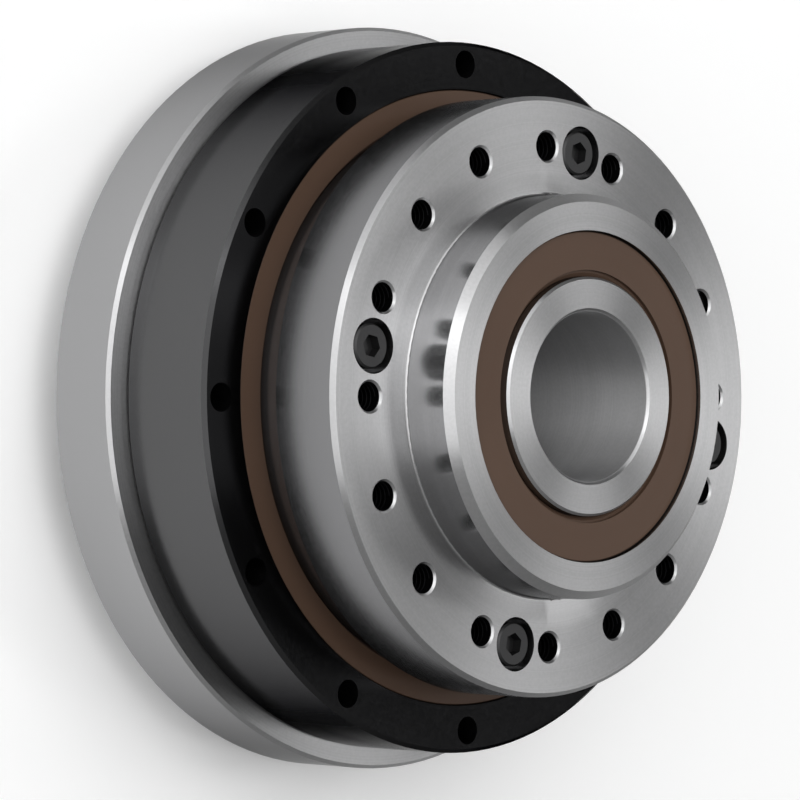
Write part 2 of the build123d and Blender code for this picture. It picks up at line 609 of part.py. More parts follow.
def output_flange():
    """Output flange and front boss in one piece, with the seats of the front bearing and seal."""
    c = SMALL_CHAMFER
    flange_r = FLANGE_D / 2
    boss_r = FRONT_BOSS_D / 2
    seal_floor = Z_FRONT - SEAL_POCKET_DEPTH
    bearing_top = Z_FRONT_BEARING + BEARING_WIDTH
    room_r = INNER_RING_BORE_R
    room_top = Z_CUP_LIP + FLANGE_ROOM
    flange = turned([
        (room_r, Z_FLANGE_BACK), (flange_r - c, Z_FLANGE_BACK), (flange_r, Z_FLANGE_BACK + c),
        (flange_r, Z_FLANGE_FRONT - FLANGE_CHAMFER), (flange_r - FLANGE_CHAMFER, Z_FLANGE_FRONT),
        (boss_r, Z_FLANGE_FRONT), (boss_r, Z_FRONT - BOSS_CHAMFER), (boss_r - BOSS_CHAMFER, Z_FRONT),
        (SEAL_D / 2, Z_FRONT), (SEAL_D / 2, seal_floor), (SHOULDER_BORE_D / 2, seal_floor),
        (SHOULDER_BORE_D / 2, bearing_top),
        (BEARING_OUTSIDE_D / 2, bearing_top), (BEARING_OUTSIDE_D / 2, room_top), (room_r, room_top),
    ], rounds=[((boss_r, Z_FLANGE_FRONT), BOSS_FILLET)])
    rim = OUTPUT_HOLE_D / 2 + OUTPUT_HOLE_CHAMFER
    hole = bar(OUTPUT_HOLE_D / 2, Z_FLANGE_FRONT - OUTPUT_HOLE_DEPTH, Z_FLANGE_FRONT)
    hole += Pos(0, 0, Z_FLANGE_FRONT) * Cone(
        rim - OUTPUT_HOLE_CHAMFER, rim, OUTPUT_HOLE_CHAMFER, align=(Align.CENTER, Align.CENTER, Align.MAX)
    )
    flange -= around(hole, OUTPUT_HOLE_COUNT, OUTPUT_HOLE_PCD / 2)
    head, clear, _ = screw_holes(Z_FLANGE_FRONT, FLANGE_SCREW_LENGTH)
    flange -= around(head + clear, FLANGE_SCREW_COUNT, OUTPUT_HOLE_PCD / 2, FLANGE_SCREW_ANGLE)
    flange -= ring(
        (FLANGE_O_RING_D + O_RING_CORD) / 2, (FLANGE_O_RING_D - O_RING_CORD) / 2,
        Z_FLANGE_BACK, Z_FLANGE_BACK + O_RING_CORD - O_RING_SQUEEZE,
    )
    return flange


def o_ring(middle_d, face, side):
    """O-ring squeezed in its groove, flat where it meets the other piece's face."""
    half_height = (O_RING_CORD - O_RING_SQUEEZE) / 2
    return bead(middle_d / 2, face + side * half_height, O_RING_CORD / 2 - SEAT_FIT, half_height)


def build():
    """Make every piece and write it."""
    os.makedirs("parts", exist_ok=True)
    rear_outer, rear_inner, rear_balls, rear_cage = ball_bearing(Z_REAR_BEARING)
    front_outer, front_inner, front_balls, front_cage = ball_bearing(Z_FRONT_BEARING)
    race_inner, race_outer, race_balls, race_cage = flex_bearing()
    front_face = Z_FRONT - SEAL_RECESS
    main_seal = lip_seal(MAIN_SEAL_D, NECK_D, Z_MAIN_SEAL, MAIN_SEAL_WIDTH, MAIN_SEAL_FACE_REACH, -1)
    flange_screw = cap_screw(Z_FLANGE_FRONT, FLANGE_SCREW_LENGTH)
    housing_screw = cap_screw(Z_REAR_RING, HOUSING_SCREW_LENGTH, down=False)
    pieces = {
        "rear_housing": rear_housing(),
        "rear_oil_seal": shaft_seal(SEAL_RECESS, 1),
        "rear_seal_spring": seal_spring(SEAL_RECESS, 1),
        "rear_bearing_outer_ring": rear_outer,
        "rear_bearing_inner_ring": rear_inner,
        "rear_bearing_balls": rear_balls,
        "rear_bearing_cage": rear_cage,
        "bearing_outer_ring": bearing_outer_ring(),
        "loading_plug": loading_plug(),
        "loading_plug_pin": plug_pin(),
        "main_seal": main_seal,
        "rear_housing_o_ring": o_ring(CASE_O_RING_D, Z_RIM, -1),
        "outer_ring_o_ring": o_ring(CASE_O_RING_D, Z_JOINT, 1),
        "housing_screws": around(
            housing_screw, HOUSING_SCREW_COUNT, MOUNT_HOLE_PCD / 2, HOUSING_SCREW_ANGLE
        ),
        "flexspline": flexspline(),
        "bearing_inner_ring": bearing_inner_ring(),
        "cross_rollers": rollers(),
        "roller_spacers": roller_spacers(),
        "circular_spline": circular_spline(),
        "output_flange": output_flange(),
        "flange_o_ring": o_ring(FLANGE_O_RING_D, Z_FLANGE_BACK, 1),
        "flange_screws": around(flange_screw, FLANGE_SCREW_COUNT, OUTPUT_HOLE_PCD / 2, FLANGE_SCREW_ANGLE),
        "front_oil_seal": shaft_seal(front_face, -1),
        "front_seal_spring": seal_spring(front_face, -1),
        "front_bearing_outer_ring": front_outer,
        "front_bearing_inner_ring": front_inner,
        "front_bearing_balls": front_balls,
        "front_bearing_cage": front_cage,
        "hollow_shaft": hollow_shaft(),
        "flex_bearing_inner_race": race_inner,
        "flex_bearing_outer_race": race_outer,
        "flex_bearing_balls": race_balls,
        "flex_bearing_cage": race_cage,
    }
    for name, shape in pieces.items():
        save(name, shape)


build()
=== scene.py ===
import json
import math

import bmesh
import bpy
from mathutils import Matrix, Vector

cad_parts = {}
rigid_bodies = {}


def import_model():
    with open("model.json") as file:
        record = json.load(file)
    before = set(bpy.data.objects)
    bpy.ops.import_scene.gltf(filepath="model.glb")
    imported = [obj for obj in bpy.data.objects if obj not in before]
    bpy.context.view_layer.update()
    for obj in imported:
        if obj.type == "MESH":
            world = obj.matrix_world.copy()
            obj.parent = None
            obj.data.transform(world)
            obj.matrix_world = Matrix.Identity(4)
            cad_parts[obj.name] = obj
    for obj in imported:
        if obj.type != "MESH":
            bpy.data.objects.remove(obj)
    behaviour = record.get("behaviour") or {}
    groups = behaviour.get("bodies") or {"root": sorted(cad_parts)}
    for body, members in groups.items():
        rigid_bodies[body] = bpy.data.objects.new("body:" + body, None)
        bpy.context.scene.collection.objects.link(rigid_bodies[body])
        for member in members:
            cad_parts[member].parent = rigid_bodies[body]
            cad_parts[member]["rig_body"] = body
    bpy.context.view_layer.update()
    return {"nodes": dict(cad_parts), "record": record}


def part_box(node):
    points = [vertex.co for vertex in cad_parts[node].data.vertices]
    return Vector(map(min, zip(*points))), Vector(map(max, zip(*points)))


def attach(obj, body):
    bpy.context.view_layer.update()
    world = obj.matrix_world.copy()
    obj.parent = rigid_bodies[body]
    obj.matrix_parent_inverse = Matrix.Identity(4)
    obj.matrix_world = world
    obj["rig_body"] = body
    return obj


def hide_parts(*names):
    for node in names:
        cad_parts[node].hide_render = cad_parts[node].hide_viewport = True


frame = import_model()

bl_info = {
    "name": "Strain Wave Gear Unit",
    "version": (1, 0, 0),
    "blender": (4, 5, 0),
    "location": "3D View > Sidebar > Gear Unit",
    "description": "Dresses a hollow-shaft strain wave gear unit with finishes, threads, springs and a stage",
    "category": "Object",
}

MM = 0.001
NODES = frame["nodes"]
SMOOTH_ANGLE = math.radians(32)
MERGE = 0.0005 * MM

# Where the threads lie below a hole's mouth
THREAD_START = 1.0 * MM
OUTPUT_THREAD_END = 6.6 * MM
INPUT_THREAD_END = 5.6 * MM

# Which faces belong to a hole: how far from its middle, how deep, and which lean too much near its mouth
HOLE_REACH = 1.05
HOLE_DEPTH = 15 * MM
CHAMFER = 0.3 * MM
CHAMFER_LEAN = 0.1

# How finely the patterns of the finishes repeat, in waves per metre
TURNING_MARKS = 5200.0
GRINDING_MARKS = 4200.0
FEED_BANDS = 500.0
STEEL_GRAIN = 2600.0
BLACK_GRAIN = 2400.0
RUBBER_SKIN = 2400.0
MOULD_RINGS = 900.0
PLASTIC_SKIN = 1500.0
PAPER_GRAIN = 900.0
OIL_FILM = 420.0
THIN_FILM = 160.0
STEEL_CLOUDS = 38.0
BLACK_CLOUDS = 30.0
RUBBER_CLOUDS = 55.0
PLASTIC_CLOUDS = 90.0

# How high the finest marks stand
STEEL_MARKS = 0.003 * MM
POLISH_MARKS = 0.001 * MM
HOLE_MARKS = 0.004 * MM
RUBBER_MARKS = 0.005 * MM
PLASTIC_MARKS = 0.004 * MM

# How strongly turned marks draw a highlight out, and across which way
TURNED_STRETCH = 0.82
TURNED_QUARTER = 0.25

# Where a rim's painted shade starts and is full, and where a bore's finish ends, in shares of the radius
RIM_START = 0.98
RIM_FULL = 0.99
BORE_END = 1.01

# Roughness that a bore's wall adds, and greys of the reflections seen at a glancing angle
BORE_EXTRA = 0.4
EDGE_TINT = 0.35
BLACK_EDGE_TINT = 0.2

# Rubber with the width of the painted shadow line round its seals, screws, and how far light goes into the
# moulded cages
SEAL_SHADOW_WIDTH = 0.24 * MM
SEAL_ROUGHNESS = 0.5
SCREW_ROUGHNESS = 0.5
RUBBER_IOR = 1.3
WAX_SHARE = 0.05
WAX_DEPTH = 0.5 * MM

# Colour and roughness of the finishes that no setting changes
CORD_RUBBER = (0.012, 0.012, 0.013), 0.42
GEAR_STEEL = (0.4, 0.41, 0.43), 0.3, 0.24
PIN_STEEL = (0.55, 0.55, 0.56), 0.22
CAM_RACE_STEEL = (0.5, 0.5, 0.51), 0.2
CAM_BALL_STEEL = (0.6, 0.6, 0.61), 0.08
RACE_STEEL = (0.52, 0.52, 0.53), 0.18
BALL_STEEL = (0.62, 0.62, 0.63), 0.07
WIRE_STEEL = (0.45, 0.45, 0.46), 0.2

# How many steps and sides the fine pieces are made of
THREAD_STEPS = 24
THREAD_SIDES = 4
COIL_STEPS = 14
WIRE_SIDES = 5

# The stage
FLOOR_RADIUS = 3.0
FLOOR_SIDES = 96
ROOM_FADE = 0.7
SENSOR = 36.0
NEAR_CLIP = 0.01
FAR_CLIP = 20.0


def radius_of(node):
    """Half the width of a round CAD node, in metres."""
    low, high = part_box(node)
    return (high.x - low.x) / 2


def pattern(mount):
    """Count, circle radius, hole radius and height of one of the record's bolt circles, in metres."""
    for entry in frame["record"]["mounts"]:
        if entry["name"] == mount:
            dims = entry["dims"]
            return dims["count"], dims["pcd_mm"] / 2 * MM, dims["hole_r_mm"] * MM, entry["pos_m"][2]
    raise RuntimeError("the record has no mount named " + mount)


def bore_radius(mount):
    """Radius of one of the record's bores, in metres."""
    return next(m["dims"]["r_mm"] for m in frame["record"]["mounts"] if m["name"] == mount) * MM


# The middle of the flange's face, which the camera and the lamps look at
FLANGE_TOP = pattern("output_holes")[3]


class Value:
    """A socket of a node tree, which adds Math nodes when Python operators are used on it."""

    def __init__(self, build, socket):
        self.build = build
        self.socket = socket

    def maths(self, operation, *others):
        """The result of a Math node on this value and others."""
        node = self.build.add("ShaderNodeMath", {"operation": operation}, dict(enumerate((self,) + others)))
        return Value(self.build, node.outputs[0])

    def swapped(self, operation, other):
        """The result of a Math node with this value second."""
        node = self.build.add("ShaderNodeMath", {"operation": operation}, {0: other, 1: self})
        return Value(self.build, node.outputs[0])

    def __add__(self, other):
        return self.maths("ADD", other)

    def __radd__(self, other):
        return self.swapped("ADD", other)

    def __sub__(self, other):
        return self.maths("SUBTRACT", other)

    def __rsub__(self, other):
        return self.swapped("SUBTRACT", other)

    def __mul__(self, other):
        return self.maths("MULTIPLY", other)

    def __rmul__(self, other):
        return self.swapped("MULTIPLY", other)

    def __pow__(self, other):
        return self.maths("POWER", other)

    def spread(self, width):
        """This value's way from one half, scaled so that 0 to 1 becomes a given width."""
        return (self - 0.5) * width

    def ramp(self, low, high, to_low=0.0, to_high=1.0):
        """This value between low and high, as a smooth step between two results."""
        node = self.build.add(
            "ShaderNodeMapRange", {"interpolation_type": "SMOOTHSTEP"},
            {"Value": self, "From Min": low, "From Max": high, "To Min": to_low, "To Max": to_high},
        )
        return Value(self.build, node.outputs[0])


class Builder:
    """Adds nodes to a node tree of any kind."""

    def __init__(self, tree):
        self.tree = tree

    def add(self, kind, settings=None, sockets=None):
        """A new node, with its settings made first and its sockets fed after them."""
        node = self.tree.nodes.new(kind)
        for key, value in (settings or {}).items():
            setattr(node, key, value)
        for key, value in (sockets or {}).items():
            self.feed(node.inputs[key], value)
        return node

    def feed(self, socket, value):
        """Link a value or another node's socket to a socket, or write a constant in it."""
        if isinstance(value, Value):
            value = value.socket
        if isinstance(value, bpy.types.NodeSocket):
            self.tree.links.new(value, socket)
        else:
            socket.default_value = value

    def split(self, vector):
        """The x, y and z of a vector."""
        node = self.add("ShaderNodeSeparateXYZ", sockets={0: vector})
        return [Value(self, socket) for socket in node.outputs]


class Finish(Builder):
    """One material and the helpers that add its nodes."""

    def __init__(self, name):
        self.material = bpy.data.materials.new(name)
        self.material.use_nodes = True
        super().__init__(self.material.node_tree)
        self.shader = self.tree.nodes["Principled BSDF"]
        self.where = Value(self, self.add("ShaderNodeTexCoord").outputs["Object"])

    def set(self, **sockets):
        """Feed the shader's sockets, named with underscores for spaces."""
        for key, value in sockets.items():
            self.feed(self.shader.inputs[key.replace("_", " ")], value)

    def height_and_radius(self):
        """The height of a point and its distance from the gear axis."""
        x, y, z = self.split(self.where)
        return z, (x * x + y * y) ** 0.5

    def facing_up(self):
        """1 on the end faces and 0 on the round sides."""
        node = self.add("ShaderNodeTexCoord")
        return self.split(node.outputs["Normal"])[2].maths("ABSOLUTE").ramp(0.3, 0.9)

    def noise(self, scale, detail=3.0):
        """Random spots all through the piece."""
        node = self.add(
            "ShaderNodeTexNoise", sockets={"Vector": self.where, "Scale": scale, "Detail": detail},
        )
        return Value(self, node.outputs["Fac"])

    def line_noise(self, along, scale, detail=2.0):
        """Random bands along one value, such as the rings that a lathe tool leaves."""
        node = self.add(
            "ShaderNodeTexNoise", {"noise_dimensions": "1D"},
            {"W": along, "Scale": scale, "Detail": detail, "Roughness": 0.6},
        )
        return Value(self, node.outputs["Fac"])

    def mix(self, factor, first, second):
        """A colour between two others."""
        node = self.add("ShaderNodeMix", {"data_type": "RGBA"})
        colours = [s for s in node.inputs if s.type == "RGBA"]
        self.feed(node.inputs["Factor"], factor)
        self.feed(colours[0], first)
        self.feed(colours[1], second)
        return Value(self, [s for s in node.outputs if s.type == "RGBA"][0])

    def bump(self, height, distance, strength):
        """Let a height tilt the surface."""
        node = self.add(
            "ShaderNodeBump", sockets={"Height": height, "Distance": distance, "Strength": strength},
        )
        self.set(Normal=node.outputs["Normal"])


def shade(colour, share=1.0):
    """A share of a colour given as three numbers, or of a grey, with its alpha."""
    if isinstance(colour, (int, float)):
        colour = (colour, colour, colour)
    return tuple(c * share for c in colour) + (1.0,)


def turned_steel(name, colour, roughness, side_roughness, bore=0.0, rim=None):
    """Fine-turned steel: highlights fan out across the end faces, the round sides are ground smoother,
    the wall of a bore is left rougher, and a side at the radius of a rim gets a darker colour, which is
    painted shade."""
    finish = Finish(name)
    z, radius = finish.height_and_radius()
    rings = finish.line_noise(radius + z, TURNING_MARKS, 3.0)
    bands = finish.line_noise(radius + z, FEED_BANDS)
    grain = finish.noise(STEEL_GRAIN)
    cloud = finish.noise(STEEL_CLOUDS)
    tone = (rings * 0.4 + bands * 0.2 + grain * 0.4).ramp(0.3, 0.7)
    base = finish.mix(tone, shade(colour, 0.92), shade(colour, 1.07))
    facing = finish.facing_up()
    in_bore = radius.ramp(bore, bore * BORE_END + MERGE, 1.0, 0.0)
    # Painted shade: the round side at a rim's radius gets a darker colour than the turned faces
    if rim:
        reach, rim_shade_colour = rim
        rim_shade_mask = radius.ramp(reach * RIM_START, reach * RIM_FULL) * (1.0 - facing)
        base = finish.mix(rim_shade_mask, base, shade(rim_shade_colour))
    finish.set(
        Base_Color=finish.mix(cloud.ramp(0.45, 0.8, 0.0, 0.15), base, shade(colour, 0.85)),
        Metallic=1.0,
        Roughness=facing * (roughness - side_roughness) + side_roughness
        + rings.spread(0.06) + grain.spread(0.08) + in_bore * BORE_EXTRA,
        Specular_Tint=shade(EDGE_TINT),
        Anisotropic=TURNED_STRETCH,
        Anisotropic_Rotation=TURNED_QUARTER,
    )
    finish.bump(rings * 0.4 + grain * 0.6, STEEL_MARKS, 0.4)
    return finish.material


def shaded_hole_steel(name, colour):
    """The wall of a drilled and tapped hole: its dark colour is painted shade for the inside of the hole,
    mottled darker in spots by an oil film.
    """
    finish = Finish(name)
    film = finish.noise(OIL_FILM)
    grain = finish.noise(STEEL_GRAIN)
    finish.set(
        Base_Color=finish.mix(film.ramp(0.35, 0.7), shade(colour), shade(colour, 0.5)),
        Metallic=1.0,
        Roughness=0.6 + grain.spread(0.2),
    )
    finish.bump(grain, HOLE_MARKS, 0.5)
    return finish.material


def polished_steel(name, colour, roughness):
    """Ground and polished bearing steel with a trace of grain and oil film."""
    finish = Finish(name)
    z, radius = finish.height_and_radius()
    lines = finish.line_noise(radius + z, GRINDING_MARKS)
    film = finish.noise(THIN_FILM)
    finish.set(
        Base_Color=finish.mix(film.ramp(0.35, 0.75), shade(colour), shade(colour, 0.82)),
        Metallic=1.0,
        Roughness=roughness + film.spread(0.08) + lines.spread(0.06),
    )
    finish.bump(lines, POLISH_MARKS, 0.4)
    return finish.material


def black_oxide(name, colour, roughness, side_colour=None):
    """Blackened steel with a satin reflection and fine grain, and a ground side of another colour."""
    finish = Finish(name)
    z, radius = finish.height_and_radius()
    rings = finish.line_noise(radius + z, GRINDING_MARKS, 3.0)
    grain = finish.noise(BLACK_GRAIN, 4.0)
    cloud = finish.noise(BLACK_CLOUDS)
    base = finish.mix(cloud.ramp(0.35, 0.7), shade(colour), shade(colour, 1.2))
    if side_colour:
        base = finish.mix(finish.facing_up(), shade(side_colour), base)
    finish.set(
        Base_Color=finish.mix(grain.ramp(0.6, 0.8, 0.0, 0.2), base, shade(colour, 2)),
        Metallic=1.0,
        Roughness=roughness + grain.spread(0.12) + rings.spread(0.05),
        Specular_Tint=shade(BLACK_EDGE_TINT),
    )
    finish.bump(grain * 0.7 + rings * 0.3, STEEL_MARKS, 0.4)
    return finish.material


def rubber(name, colour, roughness, seals=()):
    """Moulded rubber with a fine matt skin, and a painted shadow: a dark line round each seal where it meets
    its seat.
    """
    finish = Finish(name)
    _, radius = finish.height_and_radius()
    skin = finish.noise(RUBBER_SKIN, 4.0)
    rings = finish.line_noise(radius, MOULD_RINGS)
    cloud = finish.noise(RUBBER_CLOUDS)
    base = finish.mix(cloud.ramp(0.3, 0.75), shade(colour, 0.92), shade(colour))
    base = finish.mix(skin.ramp(0.55, 0.8, 0.0, 0.2), base, shade([c * 1.25 + 0.003 for c in colour]))
    # Painted shadow: a near-black line at each seal's outer radius stands for the shade in the gap to its
    # seat
    for seal in seals:
        line = (radius - radius_of(seal)).maths("ABSOLUTE").ramp(SEAL_SHADOW_WIDTH / 2, SEAL_SHADOW_WIDTH, 1.0, 0.0)
        base = finish.mix(line, base, shade(colour, 0.1))
    finish.set(
        Base_Color=base,
        Roughness=roughness + skin.spread(0.2) + rings.spread(0.08),
        IOR=RUBBER_IOR,
    )
    finish.bump(skin * 0.7 + rings * 0.3, RUBBER_MARKS, 0.5)
    return finish.material


def polyamide(name, colour):
    """Moulded polyamide, slightly waxy."""
    finish = Finish(name)
    skin = finish.noise(PLASTIC_SKIN)
    cloud = finish.noise(PLASTIC_CLOUDS, 2.0)
    finish.set(
        Base_Color=finish.mix(cloud.ramp(0.3, 0.7), shade(colour), shade(colour, 0.88)),
        Roughness=0.5 + skin.spread(0.2),
        Subsurface_Weight=WAX_SHARE,
        Subsurface_Scale=WAX_DEPTH,
    )
    finish.bump(skin, PLASTIC_MARKS, 0.5)
    return finish.material


def smooth_by_angle(mesh):
    """Smooth shading that keeps the edges between faces sharp."""
    shell = bmesh.new()
    shell.from_mesh(mesh)
    bmesh.ops.remove_doubles(shell, verts=shell.verts, dist=MERGE)
    for face in shell.faces:
        face.smooth = True
    for edge in shell.edges:
        faces = edge.link_faces
        edge.smooth = len(faces) == 2 and faces[0].normal.angle(faces[1].normal, 0.0) < SMOOTH_ANGLE
    shell.to_mesh(mesh)
    shell.free()


def mark_holes(mesh, mount, material):
    """Give the walls of a bolt circle's holes the finish with painted shade, below the chamfers."""
    count, circle, bore, level = pattern(mount)
    angles = [2 * math.pi * i / count for i in range(count)]
    middles = [Vector((circle * math.cos(a), circle * math.sin(a))) for a in angles]
    mesh.materials.append(material)
    for face in mesh.polygons:
        where = face.center
        depth = abs(where.z - level)
        on_chamfer = depth < CHAMFER and abs(face.normal.z) > CHAMFER_LEAN
        if depth > HOLE_DEPTH or on_chamfer:
            continue
        flat = Vector((where.x, where.y))
        if min((flat - middle).length for middle in middles) < bore * HOLE_REACH:
            face.material_index = 1


def finish_node(node, material, mount=None, inside=None):
    """A smooth-shaded copy of a CAD node with its finish, standing for the node."""
    source = NODES[node]
    mesh = source.data.copy()
    smooth_by_angle(mesh)
    mesh.materials.clear()
    mesh.materials.append(material)
    if mount:
        mark_holes(mesh, mount, inside)
    piece = bpy.data.objects.new(node + "_finished", mesh)
    bpy.context.scene.collection.objects.link(piece)
    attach(piece, source["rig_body"])
    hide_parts(node)


def dress(table):
    """Give every node in a table of materials its finish."""
    for material, nodes in table:
        for node in nodes:
            finish_node(node, material)


class Tree(Builder):
    """A geometry node tree with named inputs, and a mesh made from it."""

    def __init__(self, name, **inputs):
        super().__init__(bpy.data.node_groups.new(name, "GeometryNodeTree"))
        self.values = inputs
        for label, value in inputs.items():
            kind = "NodeSocketInt" if isinstance(value, int) else "NodeSocketFloat"
            self.tree.interface.new_socket(label, in_out="INPUT", socket_type=kind)
        self.tree.interface.new_socket("Geometry", in_out="OUTPUT", socket_type="NodeSocketGeometry")
        self.entry = self.tree.nodes.new("NodeGroupInput")
        self.exit = self.tree.nodes.new("NodeGroupOutput")

    def given(self, label):
        """One of the tree's named inputs."""
        return Value(self, self.entry.outputs[label])

    def lift(self, node, label):
        """What a node makes, raised to the level that a named input gives."""
        level = self.add("ShaderNodeCombineXYZ", sockets={"Z": self.given(label)})
        return self.add("GeometryNodeTransform", sockets={
            "Geometry": node.outputs[0], "Translation": level.outputs[0],
        })

    def mesh(self, geometry, material, name):
        """Realize the instances, set the material, and turn the result into a plain mesh object."""
        real = self.add("GeometryNodeRealizeInstances", sockets={0: geometry})
        coat = self.add("GeometryNodeSetMaterial", sockets={
            "Geometry": real.outputs[0], "Material": material,
        })
        self.feed(self.exit.inputs[0], coat.outputs[0])
        holder = bpy.data.objects.new(name + "_maker", bpy.data.meshes.new(name + "_maker"))
        bpy.context.scene.collection.objects.link(holder)
        modifier = holder.modifiers.new(name, "NODES")
        modifier.node_group = self.tree
        for item in self.tree.interface.items_tree:
            if item.in_out == "INPUT" and item.name in self.values:
                modifier[item.identifier] = self.values[item.name]
        graph = bpy.context.evaluated_depsgraph_get()
        mesh = bpy.data.meshes.new_from_object(holder.evaluated_get(graph))
        bpy.data.objects.remove(holder)
        if not mesh.polygons:
            raise RuntimeError("the node tree made nothing for " + name)
        mesh.materials.clear()
        mesh.materials.append(material)
        mesh.polygons.foreach_set("use_smooth", [True] * len(mesh.polygons))
        piece = bpy.data.objects.new(name, mesh)
        bpy.context.scene.collection.objects.link(piece)
        return piece


def thread_rings(name, material, count, circle, bore, low, high, pitch, depth):
    """Screw threads in the holes of a bolt circle: one fine helical ridge in each hole."""
    tree = Tree(
        name + "_tree", Count=count, Circle=circle, Bore=bore, Pitch=pitch, Depth=depth,
        Turns=(high - low) / pitch, Low=low,
    )
    helix = tree.add("GeometryNodeCurveSpiral", sockets={
        "Resolution": THREAD_STEPS, "Rotations": tree.given("Turns"), "Start Radius": tree.given("Bore"),
        "End Radius": tree.given("Bore"), "Height": tree.given("Turns") * tree.given("Pitch"),
    })
    section = tree.add("GeometryNodeCurvePrimitiveCircle", sockets={
        "Resolution": THREAD_SIDES, "Radius": tree.given("Depth"),
    })
    ridge = tree.add("GeometryNodeCurveToMesh", sockets={
        "Curve": helix.outputs[0], "Profile Curve": section.outputs[0], "Fill Caps": True,
    })
    ring = tree.add("GeometryNodeMeshCircle", sockets={
        "Vertices": tree.given("Count"), "Radius": tree.given("Circle"),
    })
    lifted = tree.lift(ring, "Low")
    copies = tree.add("GeometryNodeInstanceOnPoints", sockets={
        "Points": lifted.outputs[0], "Instance": ridge.outputs[0],
    })
    return tree.mesh(copies.outputs[0], material, name)


def garter_spring(name, material, radius, height, wire, coil, count):
    """A garter spring: close coils of thin wire strung round a circle."""
    tree = Tree(name + "_tree", Count=count, Radius=radius, Height=height, Wire=wire, Coil=coil)
    loop = tree.add("GeometryNodeCurvePrimitiveCircle", sockets={
        "Resolution": COIL_STEPS, "Radius": tree.given("Coil"),
    })
    section = tree.add("GeometryNodeCurvePrimitiveCircle", sockets={
        "Resolution": WIRE_SIDES, "Radius": tree.given("Wire"),
    })
    turn = tree.add("GeometryNodeCurveToMesh", sockets={
        "Curve": loop.outputs[0], "Profile Curve": section.outputs[0],
    })
    stood = tree.add("GeometryNodeTransform", sockets={
        "Geometry": turn.outputs[0], "Rotation": (math.pi / 2, 0.0, 0.0),
    })
    ring = tree.add("GeometryNodeCurvePrimitiveCircle", sockets={
        "Resolution": tree.given("Count"), "Radius": tree.given("Radius"),
    })
    lifted = tree.lift(ring, "Height")
    place = tree.add("GeometryNodeInputPosition")
    x, y, _ = tree.split(place.outputs[0])
    facing = tree.add("ShaderNodeCombineXYZ", sockets={"Z": y.maths("ARCTAN2", x)})
    copies = tree.add("GeometryNodeInstanceOnPoints", sockets={
        "Points": lifted.outputs[0], "Instance": stood.outputs[0], "Rotation": facing.outputs[0],
    })
    return tree.mesh(copies.outputs[0], material, name)


# Settings that a user would change
class FinishSettings(bpy.types.PropertyGroup):
    """Colours and polish of the finishes."""

    steel: bpy.props.FloatVectorProperty(
        name="Turned steel", description="Colour of the turned steel pieces",
        subtype="COLOR", default=(0.46, 0.46, 0.465), min=0, max=1)
    steel_roughness: bpy.props.FloatProperty(
        name="Face roughness", description="How far highlights spread on turned end faces",
        default=0.36, min=0, max=1)
    side_roughness: bpy.props.FloatProperty(
        name="Side roughness", description="How far highlights spread on ground sides",
        default=0.18, min=0, max=1)
    # Painted shade: the round sides get darker colours than the turned faces, standing for the dimmer
    # reflections they show
    flange_side_shade: bpy.props.FloatVectorProperty(
        name="Flange's side", description="Colour of the output flange's ground side",
        subtype="COLOR", default=(0.24, 0.24, 0.245), min=0, max=1)
    case_side_shade: bpy.props.FloatVectorProperty(
        name="Case's side", description="Colour of the rear case's ground side",
        subtype="COLOR", default=(0.38, 0.38, 0.385), min=0, max=1)
    black: bpy.props.FloatVectorProperty(
        name="Black ring", description="Colour of the blackened bearing ring",
        subtype="COLOR", default=(0.028, 0.028, 0.029), min=0, max=1)
    black_side: bpy.props.FloatVectorProperty(
        name="Black ring's side", description="Colour of the blackened ring's ground side",
        subtype="COLOR", default=(0.115, 0.115, 0.117), min=0, max=1)
    black_roughness: bpy.props.FloatProperty(
        name="Black roughness", description="How matt the blackened ring is", default=0.2, min=0, max=1)
    screw: bpy.props.FloatVectorProperty(
        name="Screws", description="Colour of the blackened screws",
        subtype="COLOR", default=(0.066, 0.066, 0.067), min=0, max=1)
    seal: bpy.props.FloatVectorProperty(
        name="Seals", description="Colour of the brown seal rubber",
        subtype="COLOR", default=(0.086, 0.051, 0.034), min=0, max=1)
    # Painted shade: the near-black colour of the hole walls stands for the shade deep inside the holes
    drilled: bpy.props.FloatVectorProperty(
        name="Drilled holes", description="Colour of the walls of the drilled holes",
        subtype="COLOR", default=(0.012, 0.012, 0.013), min=0, max=1)
    cage: bpy.props.FloatVectorProperty(
        name="Cages", description="Colour of the moulded cages and spacers",
        subtype="COLOR", default=(0.55, 0.5, 0.38), min=0, max=1)


class DetailSettings(bpy.types.PropertyGroup):
    """Sizes of the fine pieces."""

    output_pitch: bpy.props.FloatProperty(
        name="Output thread pitch", description="Rise of one turn in the output holes",
        default=0.7 * MM, min=0.2 * MM, max=2 * MM, unit="LENGTH", precision=5)
    input_pitch: bpy.props.FloatProperty(
        name="Input thread pitch", description="Rise of one turn in the holes of the shaft",
        default=0.5 * MM, min=0.2 * MM, max=2 * MM, unit="LENGTH", precision=5)
    thread_depth: bpy.props.FloatProperty(
        name="Thread depth", description="Half the width of the thread ridge",
        default=0.12 * MM, min=0.02 * MM, max=0.5 * MM, unit="LENGTH", precision=5)
    spring_wire: bpy.props.FloatProperty(
        name="Spring wire", description="Radius of the garter spring's wire",
        default=0.07 * MM, min=0.02 * MM, max=0.2 * MM, unit="LENGTH", precision=5)
    spring_coils: bpy.props.IntProperty(
        name="Spring coils", description="Coils in each garter spring", default=300, min=40, max=800)


